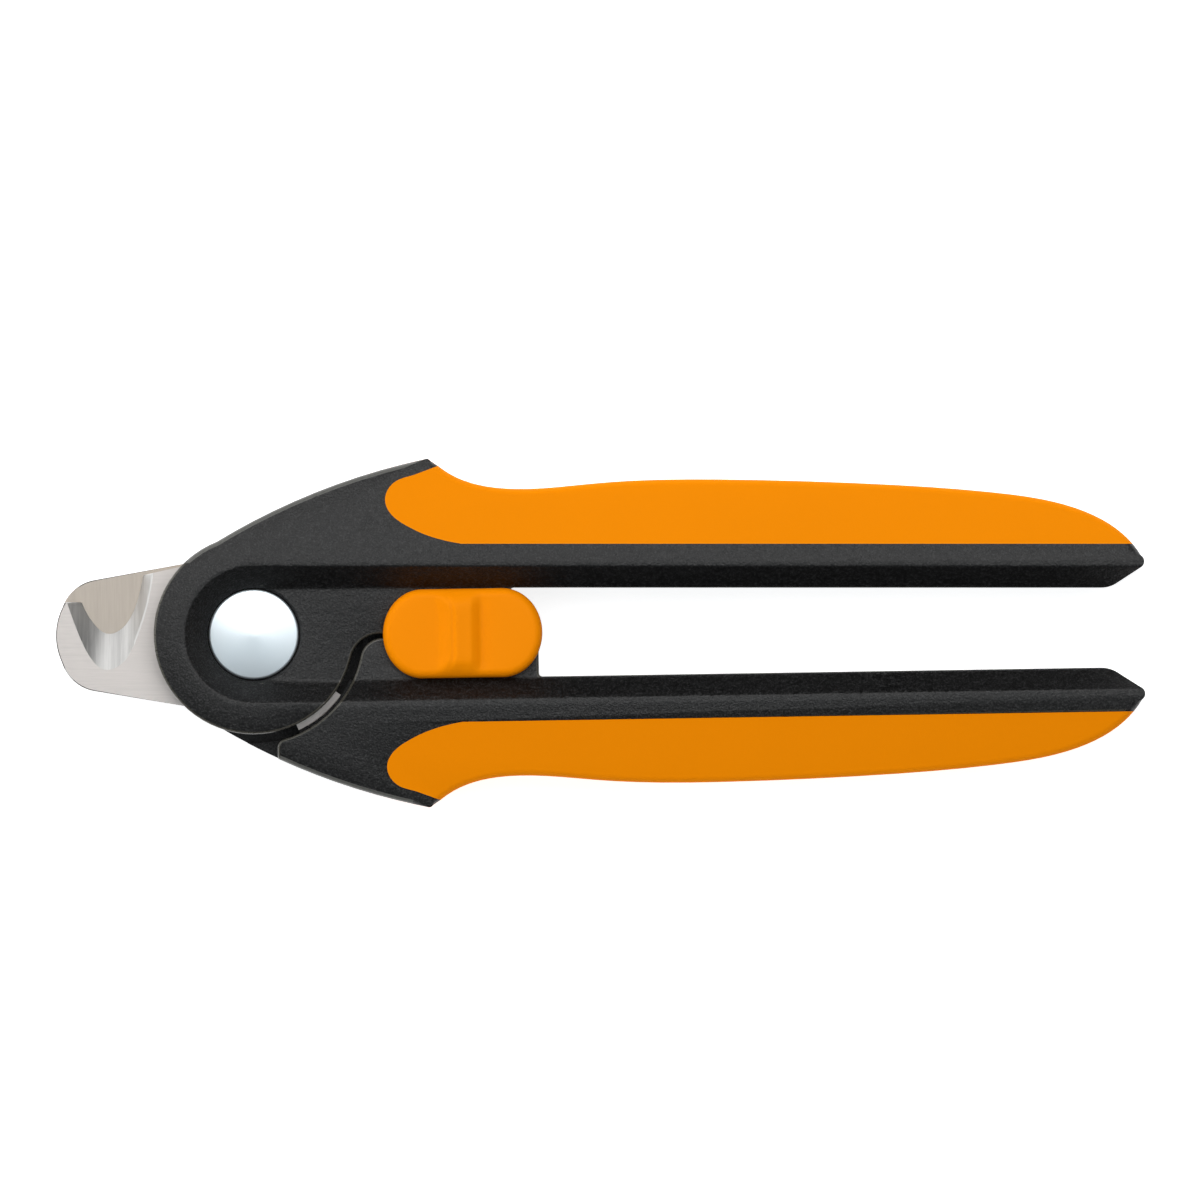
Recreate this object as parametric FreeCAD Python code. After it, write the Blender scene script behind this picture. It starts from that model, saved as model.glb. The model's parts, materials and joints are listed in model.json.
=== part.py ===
import FreeCAD, Part
import math
import os

V = FreeCAD.Vector
Z_AXIS = V(0, 0, 1)
os.makedirs("parts", exist_ok=True)

# Pet nail trimmer, lying flat.  The pivot stands along Z at the origin, the jaws
# point along -X, the handles along +X, and the back creases rest on z = 0.
# The lower lever is the upper lever turned over about X.  Sizes in millimetres.

# Whole tool
handle_reach = 126.7        # pivot to the handle ends
jaw_out = 14.1              # jaw beyond the round plate
thickness = 18.0            # crease to crease
closed_tilt = 0.9           # degrees the lower lever is turned towards the upper one

# Lever outline
shoulder_x = 24.5
shoulder_y = 25.0
grip_outer = 22.05          # highest point of the handle crown
handle_inner = 6.65         # flat inner face of a handle
grip_edge = 12.9            # seam between the grip and the core
boss_r = 14.2               # round plate over the pivot
boss_gap = 1.35             # between the plate and the other lever
plate_edge = 0.1            # straight edge of the plate, beyond the boss
tongue_edge = 0.79          # straight edge of the opposite half
plate_fillet = 4.3
tongue_round = 3.2
neck = 6.06                 # outline above the plate, midway to the shoulder
nose_x = 3.2                # where the outer half of a lever starts
nose_round = 1.2
upper_block_end = 36.5
lower_block_end = 40.5

# Section across the handles
floor_half = 6.75
crease_half = 10.0
channel_depth = 2.8
fall_deg = 12.0             # outward fall of the faces beyond the crease
half_gap = 0.25             # each half of a lever stays this far from the blade plane
grip_round = 1.2            # rounding of the grip at its outline
crease_flat = 0.9           # the tool rests on these narrow flats
crease_round = 0.6          # rounding of the creases
channel_round = 1.0         # rounding at the foot of the channel's sides
web_side = 3.0              # core below the grip, from the outline
web_skin = 2.0              # core below the grip, from the faces

# Blades
blade_t = 2.2
blade_gap = 0.02            # half the gap between the two blades
disc_inset = 0.45           # blade disc inside the plate
heel_gap = 0.5              # between the heel and the other lever
heel_run = 0.1              # between the heel and the lip over the tang
pin_ring = 11.4
pin_d = 2.6
stop_reach = 1.8            # stop pin beyond the blade plane
open_deg = 25.0             # opening of the handles

# Pivot
barrel_d = 7.0
bolt_d = 4.0
head_d = 12.85
head_rim = 1.1
dome = 0.8
head_gap = 0.24             # between the head and its recess
washer_t = 0.5
run_fit = 0.05              # radial running clearance

# Return spring
wire_d = 1.0
coil_r = 8.6
coil_pitch = 1.05
coil_turns = 1.85
coil_gap = 0.14             # between the coil and the rear blade
leg_deg = 50.0              # direction of the leg held by the upper lever
leg_hold = 3.05             # leg inside the upper lever, beyond the plate's gap

# Lock
lock_travel = 4.5
button_x = 29.75
button_y = -0.3
button_len = 22.7
button_w = 12.7
button_straight = 11.3
button_t = 2.1
ridge_h = 1.1
ridge_w = 5.2
key_len = 8.8
key_w = 3.4
key_y = -3.3
plate_t = 2.6
plate_len = 11.5
plate_front = 34.0
hook_rise = 4.0             # top of the hook beyond the lever's centre line
hook_len = 2.5
hook_t = 2.0
stem_x = 26.0
stem_w = 2.5
screw_d = 2.0
screw_head_d = 4.0
slide_gap = 0.08

mid = thickness / 2
floor_z = thickness - channel_depth
blade_lo = mid + blade_gap
blade_hi = blade_lo + blade_t
plate_lo = blade_hi + 0.03
head_seat = floor_z - head_rim - 0.2
jaw_reach = boss_r + jaw_out
arc_r = boss_r + boss_gap
leg_r = arc_r + leg_hold
disc_r = boss_r - disc_inset
heel_r = arc_r - heel_gap
fall = math.tan(math.radians(fall_deg))
far = 2 * handle_reach


def polar(r, deg, z=0.0):
    return V(r * math.cos(math.radians(deg)), r * math.sin(math.radians(deg)), z)


def line(a, b):
    return Part.LineSegment(V(*a), V(*b)).toShape()


def arc(a, m, b):
    return Part.Arc(V(*a), V(*m), V(*b)).toShape()


def curve(points):
    spline = Part.BSplineCurve()
    spline.interpolate([V(*p) for p in points])
    return spline.toShape()


def slab(edges, z0, z1):
    """A flat-sided solid between two heights, from edges drawn on z = 0."""
    face = Part.Face(Part.Wire(Part.__sortEdges__(edges)))
    if face.normalAt(0, 0).z < 0:
        face.reverse()
    face.translate(V(0, 0, z0))
    return face.extrude(V(0, 0, z1 - z0))


def cyl(r, z0, z1, at=(0, 0)):
    return Part.makeCylinder(r, z1 - z0, V(at[0], at[1], z0))


def box(x0, x1, y0, y1, z0, z1):
    return Part.makeBox(x1 - x0, y1 - y0, z1 - z0, V(x0, y0, z0))


def stadium(x0, x1, y, half, z0, z1):
    """A straight slot or key with round ends."""
    a, b = x0 + half, x1 - half
    edges = [
        line((a, y - half, 0), (b, y - half, 0)),
        arc((b, y - half, 0), (b + half, y, 0), (b, y + half, 0)),
        line((b, y + half, 0), (a, y + half, 0)),
        arc((a, y + half, 0), (a - half, y, 0), (a, y - half, 0)),
    ]
    return slab(edges, z0, z1)


def sector(r0, r1, deg0, deg1, z0, z1):
    """A piece of a ring between two directions."""
    half = (deg0 + deg1) / 2
    edges = [
        line(polar(r0, deg0), polar(r1, deg0)),
        arc(polar(r1, deg0), polar(r1, half), polar(r1, deg1)),
        line(polar(r1, deg1), polar(r0, deg1)),
        arc(polar(r0, deg1), polar(r0, half), polar(r0, deg0)),
    ]
    return slab(edges, z0, z1)


def turn_over(shape):
    out = shape.copy()
    out.rotate(V(0, 0, mid), V(1, 0, 0), 180)
    return out


def tilt(shape):
    out = shape.copy()
    out.rotate(V(0, 0, 0), Z_AXIS, closed_tilt)
    return out


def rounded_loop(corners):
    """A closed outline of straight edges.  Each corner is a point and the radius
    of its rounding, 0 for a sharp one."""
    starts, ends, arcs = [], [], []
    for i, (corner, radius) in enumerate(corners):
        back = (corners[i - 1][0] - corner).normalize()
        on = (corners[(i + 1) % len(corners)][0] - corner).normalize()
        half = back.getAngle(on) / 2
        cut = radius / math.tan(half)
        ends.append(corner + back * cut)
        starts.append(corner + on * cut)
        if radius:
            middle = (back + on).normalize() * (radius / math.sin(half) - radius)
            arcs.append(arc(ends[-1], corner + middle, starts[-1]))
    sides = [line(a, b) for a, b in zip(starts, ends[1:] + ends[:1])]
    return Part.Wire(Part.__sortEdges__(sides + arcs))


def envelope(inset=0.0):
    """The faces of the tool: a channel between two creases, running along the
    handles and round the pivot."""
    wide = grip_outer + shoulder_y

    inner = crease_half - 0.3 * crease_flat
    outer = crease_half + 0.7 * crease_flat
    low_edge = (wide, thickness - (wide - outer) * fall - inset, 0)
    top = [
        (floor_half, floor_z - inset, channel_round),
        (inner, thickness - inset, crease_round),
        (outer, thickness - inset, 0),
        low_edge,
    ]
    low = [(u, thickness - z, r) for u, z, r in reversed(top)]
    right = top + low
    left = [(-u, z, r) for u, z, r in reversed(right)]
    loop = [(V(0, u, z), r) for u, z, r in right + left]
    prism = Part.Face(rounded_loop(loop)).extrude(V(far, 0, 0))
    axis_ends = [(V(0, 0, thickness - floor_z + inset), 0), (V(0, 0, floor_z - inset), 0)]
    loop = [(V(u, 0, z), r) for u, z, r in right] + axis_ends
    ring = Part.Face(rounded_loop(loop)).revolve(V(0, 0, 0), Z_AXIS, 360)
    ring = ring.common(box(-far, 0, -far, far, -far, far))
    return prism.fuse(ring).removeSplitter()


def along(part):
    """A place along the handle, 0 at the shoulder and 1 at the handle end."""
    return shoulder_x + part * (handle_reach - shoulder_x)


def outer_edge(inset=0.0):
    """The outer side of the handle from the neck to the end."""
    crown = grip_outer - inset
    return [
        (along(0.017), crown + 1.95, 0),
        (along(0.052), crown - 0.1, 0),
        (along(0.114), crown - 1.3, 0),
        (along(0.240), crown - 0.5, 0),
        (along(0.426), crown, 0),
        (along(0.621), crown - 0.6, 0),
        (along(0.797), crown - 1.9, 0),
        (along(0.905), crown - 4.05, 0),
        (along(0.963), crown - 7.1, 0),
        (along(0.996), crown - 10.85, 0),
    ]


def lever_half(block_end, z0, z1, straight, arc_centre_y, arc_radius, circle):
    """One half of a lever: head, handle and the block behind the pivot."""
    rim = outer_edge()
    start = polar(boss_r, 134.7)
    end = rim[-1]
    tip = (end[0] + 0.4, end[1] - 0.85, 0)
    under_tip = (end[0] - 0.15, end[1] - 1.7, 0)
    end_cut = (end[0] - 3.4, handle_inner + 0.7, 0)
    inner_end = (end[0] - 5.6, handle_inner, 0)
    apex = (shoulder_x + 0.6, shoulder_y - 0.24, 0)
    reach = circle + arc_radius
    cx = math.sqrt(reach**2 - arc_centre_y**2)
    meet = V(cx, arc_centre_y, 0) * (circle / reach)
    away = V(meet.x - cx, meet.y - arc_centre_y, 0)
    up = V(0, straight - arc_centre_y, 0)
    half = (away.normalize() + up.normalize()).normalize() * arc_radius
    corner = 2.0
    edges = [
        arc(start, polar(boss_r + neck, 71.6), (shoulder_x, shoulder_y, 0)),
        arc((shoulder_x, shoulder_y, 0), (shoulder_x + 0.33, shoulder_y - 0.03, 0), apex),
        line(apex, rim[0]),
        curve(rim),
        arc(end, tip, under_tip),
        line(under_tip, end_cut),
        arc(end_cut, (end[0] - 4.4, handle_inner + 0.2, 0), inner_end),
        line(inner_end, (block_end + 0.5, handle_inner, 0)),
        arc(
            (block_end + 0.5, handle_inner, 0),
            (block_end + 0.146, handle_inner - 0.146, 0),
            (block_end, handle_inner - 0.5, 0),
        ),
        line((block_end, handle_inner - 0.5, 0), (block_end, straight + corner, 0)),
        arc(
            (block_end, straight + corner, 0),
            (block_end - 0.293 * corner, straight + 0.293 * corner, 0),
            (block_end - corner, straight, 0),
        ),
        line((block_end - corner, straight, 0), (cx, straight, 0)),
        arc((cx, straight, 0), (cx + half.x, arc_centre_y + half.y, 0), meet),
        line(meet, (0, 0, 0)),
        line((0, 0, 0), start),
    ]
    return slab(edges, z0, z1)


def grip_plan(z0, z1):
    """The area of a lever covered by the grip."""
    rim = outer_edge()
    end = rim[-1]
    seam_x = shoulder_x + 5.0
    edges = [
        line((seam_x, grip_edge, 0), (end[0] + 8, grip_edge, 0)),
        line((end[0] + 8, grip_edge, 0), (end[0] + 8, shoulder_y + 8, 0)),
        line((end[0] + 8, shoulder_y + 8, 0), (rim[0][0], shoulder_y + 8, 0)),
        line((rim[0][0], shoulder_y + 8, 0), rim[0]),
        curve([
            rim[0],
            (shoulder_x - 0.1, shoulder_y - 1.7, 0),
            (shoulder_x - 2.1, shoulder_y - 2.42, 0),
            (shoulder_x - 3.8, shoulder_y - 2.95, 0),
            (shoulder_x - 5.1, shoulder_y - 3.95, 0),
            (shoulder_x - 5.8, shoulder_y - 5.9, 0),
            (shoulder_x - 5.1, shoulder_y - 7.7, 0),
            (shoulder_x - 2.9, grip_edge + 2.65, 0),
            (shoulder_x + 0.6, grip_edge + 1.05, 0),
            (seam_x, grip_edge, 0),
        ]),
    ]
    return slab(edges, z0, z1)


def web_plan(z0, z1):
    """The rib of the core inside the grip."""
    rim = [p for p in outer_edge(web_side) if p[0] < along(0.95)]
    first, last = rim[1], rim[-1]
    back = shoulder_x - 8.0
    edges = [
        line((back, handle_inner + 2, 0), (last[0], handle_inner + 2, 0)),
        line((last[0], handle_inner + 2, 0), last),
        curve(rim[1:]),
        line(first, (shoulder_x - 0.5, shoulder_y - web_side, 0)),
        line((shoulder_x - 0.5, shoulder_y - web_side, 0), (shoulder_x - 0.5, shoulder_y + 4, 0)),
        line((shoulder_x - 0.5, shoulder_y + 4, 0), (back, shoulder_y + 4, 0)),
        line((back, shoulder_y + 4, 0), (back, handle_inner + 2, 0)),
    ]
    return slab(edges, z0, z1)


def rounded(whole):
    """Round the outer side of the handle."""
    sides = []
    for e in whole.Edges:
        b = e.BoundBox
        rim = b.ZLength < channel_depth + 1 and b.YMax > grip_outer - 1 and abs(b.ZMin - mid) > 2
        if rim and e.Length > 0.7 * (handle_reach - shoulder_x):
            sides.append(e)
    return whole.makeFillet(grip_round, sides)


def lever(block_end):
    """Core and grip of one lever, drawn as the upper lever."""
    front = lever_half(
        block_end, mid + half_gap, thickness, plate_edge,
        plate_edge - plate_fillet, plate_fillet, boss_r,
    )
    front = front.fuse(cyl(boss_r, mid + half_gap, thickness))
    front = front.cut(cyl(arc_r, mid, plate_lo))
    back = lever_half(
        block_end, 0, mid + half_gap, tongue_edge,
        tongue_edge + tongue_round, tongue_round, arc_r,
    )
    back = back.cut(cyl(arc_r, -1, mid + 1))
    back = back.cut(box(-far, nose_x, -far, far, -1, mid + 1))
    nose = [e for e in back.Edges if e.BoundBox.ZLength > mid - 1 and e.BoundBox.XMax < nose_x + 0.01]
    inner_corner = min(nose, key=lambda e: e.BoundBox.YMin)
    back = back.makeFillet(nose_round, [inner_corner])
    lip = sector(heel_r + heel_run, arc_r + 0.3, 26, 66, thickness - plate_lo, mid)
    back = back.fuse(lip)
    whole = rounded(front.fuse(back).removeSplitter().common(envelope()))
    cover = grip_plan(-1, thickness + 1)
    web = web_plan(-1, thickness + 1).common(envelope(web_skin)).common(whole)
    grip = whole.common(cover).cut(web)
    core = whole.cut(cover).fuse(web).removeSplitter()
    return core, grip


def notch(z):
    """The nail notch of a blade at one height: the edge on the blade plane and
    the outer end of its bevel on the far face."""
    edge = [
        (-24.6, 4.9), (-22.9, 1.6), (-20.8, 0.1), (-18.3, 1.6),
        (-17.3, 3.3), (-16.5, 5.7), (-15.7, 9.4),
    ]
    brow = [
        (-26.8, 4.9), (-24.4, -1.5), (-20.9, -5.1), (-18.4, -3.7),
        (-17.3, -1.7), (-15.3, 4.3), (-14.4, 9.6),
    ]
    k = jaw_reach / 28.3
    part = (z - blade_lo) / blade_t
    pts = []
    for a, b in zip(edge, brow):
        pts.append((k * (a[0] + (b[0] - a[0]) * part), k * (a[1] + (b[1] - a[1]) * part), 0))
    high = k * 14.0
    first, last = pts[0], pts[-1]
    edges = [
        curve(pts),
        line(last, (last[0], high, 0)),
        line((last[0], high, 0), (first[0], high, 0)),
        line((first[0], high, 0), first),
    ]
    wire = Part.Wire(edges)
    wire.translate(V(0, 0, z))
    return wire


def blade():
    """One blade, drawn as the front blade: jaw, disc, heel and tang."""
    k = jaw_reach / 28.3
    z0, z1 = blade_lo, blade_hi

    def at(x, y):
        return (k * x, k * y, 0)

    jaw = slab([
        arc(at(-26.9, 4.6), at(-28.25, 0.0), at(-27.4, -4.0)),
        arc(at(-27.4, -4.0), at(-25.6, -6.75), at(-22.7, -8.1)),
        line(at(-22.7, -8.1), at(-9.0, -10.38)),
        line(at(-9.0, -10.38), (0, 0, 0)),
        line((0, 0, 0), at(-9.0, 9.95)),
        line(at(-9.0, 9.95), at(-16.4, 8.3)),
        line(at(-16.4, 8.3), at(-19.0, 4.6)),
        line(at(-19.0, 4.6), at(-26.9, 4.6)),
    ], z0, z1)
    tang = slab([
        line((0, 7.4, 0), (20.0, 10.2, 0)),
        arc((20.0, 10.2, 0), (22.0, 12.4, 0), (19.5, 14.2, 0)),
        line((19.5, 14.2, 0), (0, 12.5, 0)),
        line((0, 12.5, 0), (0, 7.4, 0)),
    ], z0, z1)
    shape = jaw.fuse([
        cyl(disc_r, z0, z1),
        sector(disc_r - 3, heel_r, -65, -35, z0, z1),
        tang,
    ]).removeSplitter()
    over = 0.5
    cutter = Part.makeLoft([notch(z0 - over), notch(z1 + over)], True, True)
    shape = shape.cut(cutter)
    shape = shape.cut(cyl(barrel_d / 2 + run_fit, z0 - 1, z1 + 1))
    slack = 2.4
    slot = ring_slot(-75 + closed_tilt + slack, -75 - open_deg - slack, z0 - 1, z1 + 1)
    shape = shape.cut(slot)
    return shape.cut([stop_pin(), blade_pin()])


def ring_slot(deg0, deg1, z0, z1):
    """An arc slot for the other lever's stop pin."""
    half = pin_d / 2 + 0.25
    a, b = polar(pin_ring, deg0), polar(pin_ring, deg1)
    body = sector(pin_ring - half, pin_ring + half, deg1, deg0, z0, z1)
    return body.fuse([cyl(half, z0, z1, (a.x, a.y)), cyl(half, z0, z1, (b.x, b.y))])


def stop_pin():
    p = polar(pin_ring, 75)
    return cyl(pin_d / 2, mid - stop_reach, mid + 5.2, (p.x, p.y))


def blade_pin():
    p = polar(pin_ring, 160)
    return cyl(pin_d / 2, blade_lo + 0.03, mid + 5.2, (p.x, p.y))


def domed_head(z0):
    """A low domed head standing on z0."""
    r = head_d / 2
    ball = (r**2 + dome**2) / (2 * dome)
    body = cyl(r, z0, z0 + head_rim + dome)
    cap = Part.makeSphere(ball, V(0, 0, z0 + head_rim + dome - ball))
    return body.common(cap)


def head_recess():
    """Recess for a pivot head in the front face."""
    r = head_d / 2 + head_gap
    cone = Part.makeCone(r - 0.5, r + 0.5, 1.0, V(0, 0, floor_z - 0.75))
    return cyl(r, head_seat - washer_t - 0.05, thickness).fuse(cone)


# Both levers, drawn as the upper one
upper_core, upper_grip = lever(upper_block_end)
lower_core, lower_grip = lever(lower_block_end)
front_blade = blade()
front_stop = stop_pin()
front_pin = blade_pin()

bore = cyl(barrel_d / 2 + run_fit, -1, thickness + 1)
fixings = [front_blade, front_stop, front_pin, head_recess(), bore]
upper_core = upper_core.cut(fixings)
lower_core = lower_core.cut(fixings)

# Turn the lower lever over
lower_core = turn_over(lower_core)
lower_grip = tilt(turn_over(lower_grip))
rear_blade = tilt(turn_over(front_blade))
rear_stop = tilt(turn_over(front_stop))
rear_pin = tilt(turn_over(front_pin))

# Lock, drawn along the lower lever before it is tilted
plate_z = mid + 1.5
plate_top = plate_z + plate_t
plate_back = plate_front - plate_len
room = slide_gap
pocket = box(
    plate_back - 0.7, plate_front + lock_travel + 0.5,
    key_y - 3.4, 0, plate_z - room, plate_top + room,
)
key_x = button_x - key_len / 2 - 0.75
key_slot = stadium(
    key_x - 0.3, key_x + key_len + lock_travel + 0.3,
    key_y, key_w / 2 + run_fit, plate_top, thickness,
)
screw_x = key_x + key_len / 2
screw_slot = stadium(
    screw_x - screw_head_d / 2 - 0.3, screw_x + lock_travel + screw_head_d / 2 + 0.3,
    key_y, screw_head_d / 2 + 0.3, -1, plate_z,
)
lower_core = tilt(lower_core.cut([pocket, key_slot, screw_slot]))

under = floor_z + slide_gap
ends = (button_len - button_straight) / 2
half_w = button_w / 2
bx0, bx1 = button_x - button_straight / 2, button_x + button_straight / 2


def button_outline(inset, z0, z1):
    """Button outline: a straight part between two half ellipses."""
    rx, ry = ends - inset, half_w - inset
    right = Part.Ellipse(V(0, 0, 0), max(rx, ry), min(rx, ry))
    if ry > rx:
        right.rotate(FreeCAD.Placement(V(0, 0, 0), FreeCAD.Rotation(Z_AXIS, 90)))
    oval = Part.Face(Part.Wire(right.toShape()))
    body = None
    for x in (bx0, bx1):
        piece = oval.copy()
        piece.translate(V(x, button_y, z0))
        piece = piece.extrude(V(0, 0, z1 - z0))
        body = piece if body is None else body.fuse(piece)
    bar = box(bx0, bx1, button_y - ry, button_y + ry, z0, z1)
    return body.fuse(bar).removeSplitter()


rim_r = 0.9
button = button_outline(0, under, under + button_t)
top_rim = [e for e in button.Edges if e.BoundBox.ZMin > under + button_t - 0.01]
button = button.makeFillet(rim_r, top_rim)
ridge_top = under + button_t + ridge_h
ridge = Part.Face(Part.Wire([
    line((button_x - ridge_w / 2, 0, under + 1), (button_x - ridge_w / 2, 0, under + button_t)),
    arc(
        (button_x - ridge_w / 2, 0, under + button_t),
        (button_x + 0.35, 0, ridge_top),
        (button_x + ridge_w / 2, 0, under + button_t),
    ),
    line((button_x + ridge_w / 2, 0, under + button_t), (button_x + ridge_w / 2, 0, under + 1)),
    line((button_x + ridge_w / 2, 0, under + 1), (button_x - ridge_w / 2, 0, under + 1)),
])).extrude(V(0, button_w, 0))
ridge.translate(V(0, button_y - half_w, 0))
ridge = ridge.common(button_outline(rim_r + 0.3, under, ridge_top + 1))
key = stadium(key_x, key_x + key_len, key_y, key_w / 2, plate_top, under + 0.5)
screw_head_t = 1.6
screw = cyl(screw_head_d / 2, plate_z - screw_head_t, plate_z, (screw_x, key_y))
screw = screw.fuse(cyl(screw_d / 2, plate_z, under + 0.9, (screw_x, key_y)))
socket = cyl(0.85, plate_z - screw_head_t, plate_z - 0.6, (screw_x, key_y))
screw = screw.cut(socket)
button = button.fuse([ridge, key]).removeSplitter().cut(screw)

bump_x = button_x + 0.25
dent = 0.45
plate_low = key_y - 2.3
stem = slab([
    line((stem_x, -1.5, 0), (stem_x + stem_w, -1.5, 0)),
    line((stem_x + stem_w, -1.5, 0), (stem_x + stem_w, hook_rise - hook_t, 0)),
    line(
        (stem_x + stem_w, hook_rise - hook_t, 0),
        (stem_x + stem_w + hook_len, hook_rise - hook_t, 0),
    ),
    line(
        (stem_x + stem_w + hook_len, hook_rise - hook_t, 0),
        (stem_x + stem_w + hook_len, hook_rise, 0),
    ),
    line((stem_x + stem_w + hook_len, hook_rise, 0), (stem_x, hook_rise, 0)),
    line((stem_x, hook_rise, 0), (stem_x, -1.5, 0)),
], plate_z, plate_top)
lock_plate = box(plate_back, plate_front, plate_low, -1.0, plate_z, plate_top).fuse(stem)
for x in (bump_x, bump_x - lock_travel):
    lock_plate = lock_plate.cut(cyl(dent + 0.25, plate_z - 1, plate_top + 1, (x, plate_low - 0.2)))
lock_plate = lock_plate.removeSplitter().cut(screw)

leaf_t = 0.3
leaf_base = key_y - 3.0
leaf_path = [
    (plate_back - 0.3, leaf_base, 0),
    (bump_x - 1.6, plate_low - 0.36, 0),
    (bump_x - 0.5, plate_low - 0.34, 0),
    (bump_x, plate_low - 0.06, 0),
    (bump_x + 0.5, plate_low - 0.34, 0),
    (bump_x + 1.6, plate_low - 0.36, 0),
    (plate_front + lock_travel, leaf_base, 0),
]
leaf_back = [(x, y - leaf_t, 0) for x, y, z in leaf_path]
rim = leaf_path + leaf_back[::-1]
leaf_edges = [line(a, b) for a, b in zip(rim, rim[1:] + rim[:1])]
detent_spring = slab(leaf_edges, plate_z + 0.2, plate_top - 0.2)

button = tilt(button)
lock_plate = tilt(lock_plate)
lock_screw = tilt(screw)
detent_spring = tilt(detent_spring)

# Room in the upper lever for the hook: a way in, and the catch beyond it
lift = math.tan(math.radians(closed_tilt)) * plate_front
hook_end = stem_x + stem_w + hook_len
catch_x = stem_x + stem_w + lock_travel + 0.35
way_in = box(
    stem_x - 0.6, catch_x, plate_edge - 1, hook_rise + lift + 0.3,
    plate_z - 0.2, plate_top + 0.2,
)
catch = box(
    catch_x - 1, upper_block_end + 1, hook_rise - hook_t + lift - 0.35,
    hook_rise + lift + 0.3, plate_z - 0.2, plate_top + 0.2,
)
upper_core = upper_core.cut([way_in, catch])

# Pivot
front_washer_z = head_seat - washer_t
back_seat = thickness - head_seat
pivot_bolt = domed_head(head_seat)
pivot_bolt = pivot_bolt.fuse(cyl(bolt_d / 2, back_seat + 2.0, head_seat)).removeSplitter()
pivot_barrel = turn_over(domed_head(head_seat))
pivot_barrel = pivot_barrel.fuse(cyl(barrel_d / 2, back_seat, front_washer_z)).removeSplitter()
pivot_barrel = pivot_barrel.cut(cyl(bolt_d / 2, back_seat + 2.0, thickness))
washer_r = head_d / 2 - 0.4
bolt_washer = cyl(washer_r, front_washer_z, head_seat)
bolt_washer = bolt_washer.cut(cyl(bolt_d / 2 + run_fit, 0, thickness))
thrust_washer = cyl(washer_r, back_seat, back_seat + washer_t)
thrust_washer = thrust_washer.cut(cyl(barrel_d / 2 + run_fit, 0, thickness))

# Return spring in a ring pocket round the pivot
pocket_top = thickness - blade_hi
coil_high = pocket_top - wire_d / 2 - coil_gap
coil_low = coil_high - coil_pitch * coil_turns
anchor_deg = leg_deg + 360 * coil_turns
helix = Part.makeHelix(coil_pitch, coil_pitch * coil_turns, coil_r)
helix = helix.mirror(V(0, 0, 0), V(0, 1, 0))
helix.rotate(V(0, 0, 0), Z_AXIS, anchor_deg)
helix.translate(V(0, 0, coil_low))
start = polar(coil_r, anchor_deg, coil_low)
tangent = polar(1, anchor_deg - 90)
ring = Part.Wire(Part.makeCircle(wire_d / 2, start, tangent))
coil = Part.Wire(helix.Edges).makePipeShell([ring], True, True)


def leg(deg, r1, z):
    return Part.makeCylinder(wire_d / 2, r1 - coil_r, polar(coil_r, deg, z), polar(1, deg))


anchor_r = disc_r - 0.9
knobs = [
    Part.makeSphere(wire_d / 2, polar(coil_r, anchor_deg, coil_low)),
    Part.makeSphere(wire_d / 2, polar(coil_r, leg_deg, coil_high)),
]
return_spring = coil.fuse([leg(anchor_deg, anchor_r, coil_low), leg(leg_deg, leg_r, coil_high)] + knobs)

pocket_low = coil_low - wire_d / 2 - 0.1
spring_pocket = cyl(coil_r + wire_d / 2 + 0.25, pocket_low, pocket_top + 0.1)
spring_pocket = spring_pocket.cut(cyl(coil_r - wire_d / 2 - 0.25, 0, thickness))
sweep = sector(
    coil_r, arc_r + 0.4, leg_deg - 5, leg_deg + open_deg + 5,
    coil_high - wire_d / 2 - 0.15, pocket_top + 0.1,
)
anchor_slot = Part.makeBox(
    anchor_r + 0.3 - coil_r, wire_d + 0.2, pocket_top - pocket_low + 0.1,
    V(coil_r, -wire_d / 2 - 0.1, pocket_low),
)
anchor_slot.rotate(V(0, 0, 0), Z_AXIS, anchor_deg)
lower_core = lower_core.cut([spring_pocket, sweep, anchor_slot])
leg_slot = Part.makeCylinder(
    wire_d / 2 + 0.1, leg_r + 0.3 - coil_r, polar(coil_r, leg_deg, coil_high), polar(1, leg_deg)
)
upper_core = upper_core.cut(leg_slot)

nodes = {
    "upper_handle_core": upper_core,
    "upper_grip": upper_grip,
    "front_blade": front_blade,
    "front_blade_stop_pin": front_stop,
    "front_blade_pin": front_pin,
    "pivot_bolt": pivot_bolt,
    "bolt_washer": bolt_washer,
    "pivot_barrel": pivot_barrel,
    "lower_handle_core": lower_core,
    "lower_grip": lower_grip,
    "rear_blade": rear_blade,
    "rear_blade_stop_pin": rear_stop,
    "rear_blade_pin": rear_pin,
    "thrust_washer": thrust_washer,
    "return_spring": return_spring,
    "lock_button": button,
    "lock_plate": lock_plate,
    "lock_screw": lock_screw,
    "detent_spring": detent_spring,
}

# The origin is the middle of the footprint, on the plane the tool rests on
overall = FreeCAD.BoundBox()
for name, shape in nodes.items():
    nodes[name] = shape.removeSplitter()
    for point in nodes[name].tessellate(0.02)[0]:
        overall.add(point)
shift = V(-overall.Center.x, -overall.Center.y, -overall.ZMin)
print("pivot at", round(shift.x, 4), round(shift.y, 4), round(shift.z, 4))

for name, shape in nodes.items():
    shape.translate(shift)
    shape.exportStep("parts/" + name + ".step")
    print(name, shape.isValid(), len(shape.Solids), round(shape.Volume, 1))
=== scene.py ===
import bpy
import bmesh
import json
import math
from mathutils import Matrix, Vector


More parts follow.
